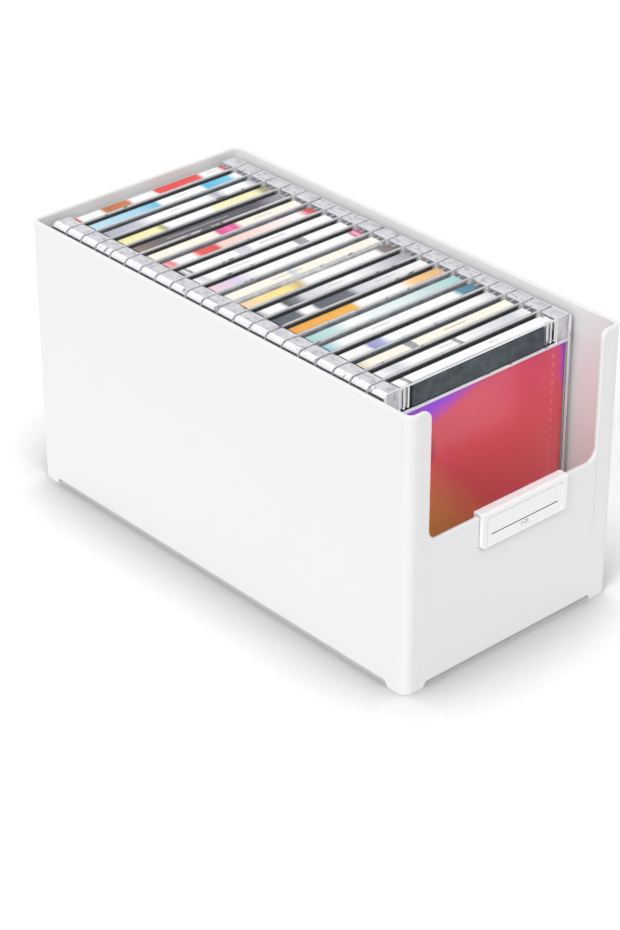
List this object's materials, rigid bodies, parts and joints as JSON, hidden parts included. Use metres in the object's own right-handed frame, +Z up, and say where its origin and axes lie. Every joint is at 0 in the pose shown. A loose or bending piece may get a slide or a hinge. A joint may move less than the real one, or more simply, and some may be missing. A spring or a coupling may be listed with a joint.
{
  "type": "cd storage drawer",
  "caption": "Open-topped moulded storage drawer with a low front lip and hooked-on index holder, filled with jewel cases standing spine up.",
  "frame": {"origin": "on the ground, under the middle of the whole object's box", "axes": "+X along the spines to the right as seen from the front, +Y from the front lip to the back wall, +Z up"},
  "size_m": [0.14, 0.282, 0.151],
  "materials": {
    "drawer_plastic": "satin",
    "clip_plastic": "gloss",
    "label_paper": "matte",
    "clear_plastic": "polished",
    "tray_plastic": "satin",
    "disc_silver": "polished",
    "cover_print": "gloss",
    "inlay_print": "satin"
  },
  "bodies": {
    "drawer": {"drawer_body": "drawer_plastic"},
    "index_clip": {"index_clip": "clip_plastic", "index_label": "label_paper"},
    "front_case": {"front_case_base": "clear_plastic", "front_case_tray": "tray_plastic", "front_case_disc": "disc_silver", "front_case_inlay": "inlay_print"},
    "front_case_cover": {"front_case_lid": "clear_plastic", "front_case_booklet": "cover_print"},
    "case_02": {"case_02_shell": "clear_plastic", "case_02_contents": "tray_plastic"},
    "case_03": {"case_03_shell": "clear_plastic", "case_03_contents": "tray_plastic"},
    "case_04": {"case_04_shell": "clear_plastic", "case_04_contents": "tray_plastic"},
    "case_05": {"case_05_shell": "clear_plastic", "case_05_contents": "tray_plastic"},
    "case_06": {"case_06_shell": "clear_plastic", "case_06_contents": "tray_plastic"},
    "case_07": {"case_07_shell": "clear_plastic", "case_07_contents": "tray_plastic"},
    "case_08": {"case_08_shell": "clear_plastic", "case_08_contents": "tray_plastic"},
    "case_09": {"case_09_shell": "clear_plastic", "case_09_contents": "tray_plastic"},
    "case_10": {"case_10_shell": "clear_plastic", "case_10_contents": "tray_plastic"},
    "case_11": {"case_11_shell": "clear_plastic", "case_11_contents": "tray_plastic"},
    "case_12": {"case_12_shell": "clear_plastic", "case_12_contents": "tray_plastic"},
    "case_13": {"case_13_shell": "clear_plastic", "case_13_contents": "tray_plastic"},
    "case_14": {"case_14_shell": "clear_plastic", "case_14_contents": "tray_plastic"},
    "case_15": {"case_15_shell": "clear_plastic", "case_15_contents": "tray_plastic"},
    "case_16": {"case_16_shell": "clear_plastic", "case_16_contents": "tray_plastic"},
    "case_17": {"case_17_shell": "clear_plastic", "case_17_contents": "tray_plastic"},
    "case_18": {"case_18_shell": "clear_plastic", "case_18_contents": "tray_plastic"},
    "case_19": {"case_19_shell": "clear_plastic", "case_19_contents": "tray_plastic"},
    "case_20": {"case_20_shell": "clear_plastic", "case_20_contents": "tray_plastic"},
    "case_21": {"case_21_shell": "clear_plastic", "case_21_contents": "tray_plastic"}
  },
  "joints": [
    {"name": "index_clip_lift", "type": "slide", "parent": "drawer", "child": "index_clip", "axis": [0, 0, 1], "range_m": [0, 0.027]},
    {"name": "front_case_lift", "type": "slide", "parent": "drawer", "child": "front_case", "axis": [0, 0, 1], "range_m": [0, 0.1482]},
    {"name": "front_case_hinge", "type": "hinge", "parent": "front_case", "child": "front_case_cover", "pos_m": [0.00225, -0.10575, 0.1418], "axis": [-1, 0, 0], "range_deg": [0, 9.5]},
    {"name": "case_02_lift", "type": "slide", "parent": "drawer", "child": "case_02", "axis": [0, 0, 1], "range_m": [0, 0.1482]},
    {"name": "case_03_lift", "type": "slide", "parent": "drawer", "child": "case_03", "axis": [0, 0, 1], "range_m": [0, 0.1482]},
    {"name": "case_04_lift", "type": "slide", "parent": "drawer", "child": "case_04", "axis": [0, 0, 1], "range_m": [0, 0.1482]},
    {"name": "case_05_lift", "type": "slide", "parent": "drawer", "child": "case_05", "axis": [0, 0, 1], "range_m": [0, 0.1482]},
    {"name": "case_06_lift", "type": "slide", "parent": "drawer", "child": "case_06", "axis": [0, 0, 1], "range_m": [0, 0.1482]},
    {"name": "case_07_lift", "type": "slide", "parent": "drawer", "child": "case_07", "axis": [0, 0, 1], "range_m": [0, 0.1482]},
    {"name": "case_08_lift", "type": "slide", "parent": "drawer", "child": "case_08", "axis": [0, 0, 1], "range_m": [0, 0.1482]},
    {"name": "case_09_lift", "type": "slide", "parent": "drawer", "child": "case_09", "axis": [0, 0, 1], "range_m": [0, 0.1482]},
    {"name": "case_10_lift", "type": "slide", "parent": "drawer", "child": "case_10", "axis": [0, 0, 1], "range_m": [0, 0.1482]},
    {"name": "case_11_lift", "type": "slide", "parent": "drawer", "child": "case_11", "axis": [0, 0, 1], "range_m": [0, 0.1482]},
    {"name": "case_12_lift", "type": "slide", "parent": "drawer", "child": "case_12", "axis": [0, 0, 1], "range_m": [0, 0.1482]},
    {"name": "case_13_lift", "type": "slide", "parent": "drawer", "child": "case_13", "axis": [0, 0, 1], "range_m": [0, 0.1482]},
    {"name": "case_14_lift", "type": "slide", "parent": "drawer", "child": "case_14", "axis": [0, 0, 1], "range_m": [0, 0.1482]},
    {"name": "case_15_lift", "type": "slide", "parent": "drawer", "child": "case_15", "axis": [0, 0, 1], "range_m": [0, 0.1482]},
    {"name": "case_16_lift", "type": "slide", "parent": "drawer", "child": "case_16", "axis": [0, 0, 1], "range_m": [0, 0.1482]},
    {"name": "case_17_lift", "type": "slide", "parent": "drawer", "child": "case_17", "axis": [0, 0, 1], "range_m": [0, 0.1482]},
    {"name": "case_18_lift", "type": "slide", "parent": "drawer", "child": "case_18", "axis": [0, 0, 1], "range_m": [0, 0.1482]},
    {"name": "case_19_lift", "type": "slide", "parent": "drawer", "child": "case_19", "axis": [0, 0, 1], "range_m": [0, 0.1482]},
    {"name": "case_20_lift", "type": "slide", "parent": "drawer", "child": "case_20", "axis": [0, 0, 1], "range_m": [0, 0.1482]},
    {"name": "case_21_lift", "type": "slide", "parent": "drawer", "child": "case_21", "axis": [0, 0, 1], "range_m": [0, 0.1482]}
  ]
}
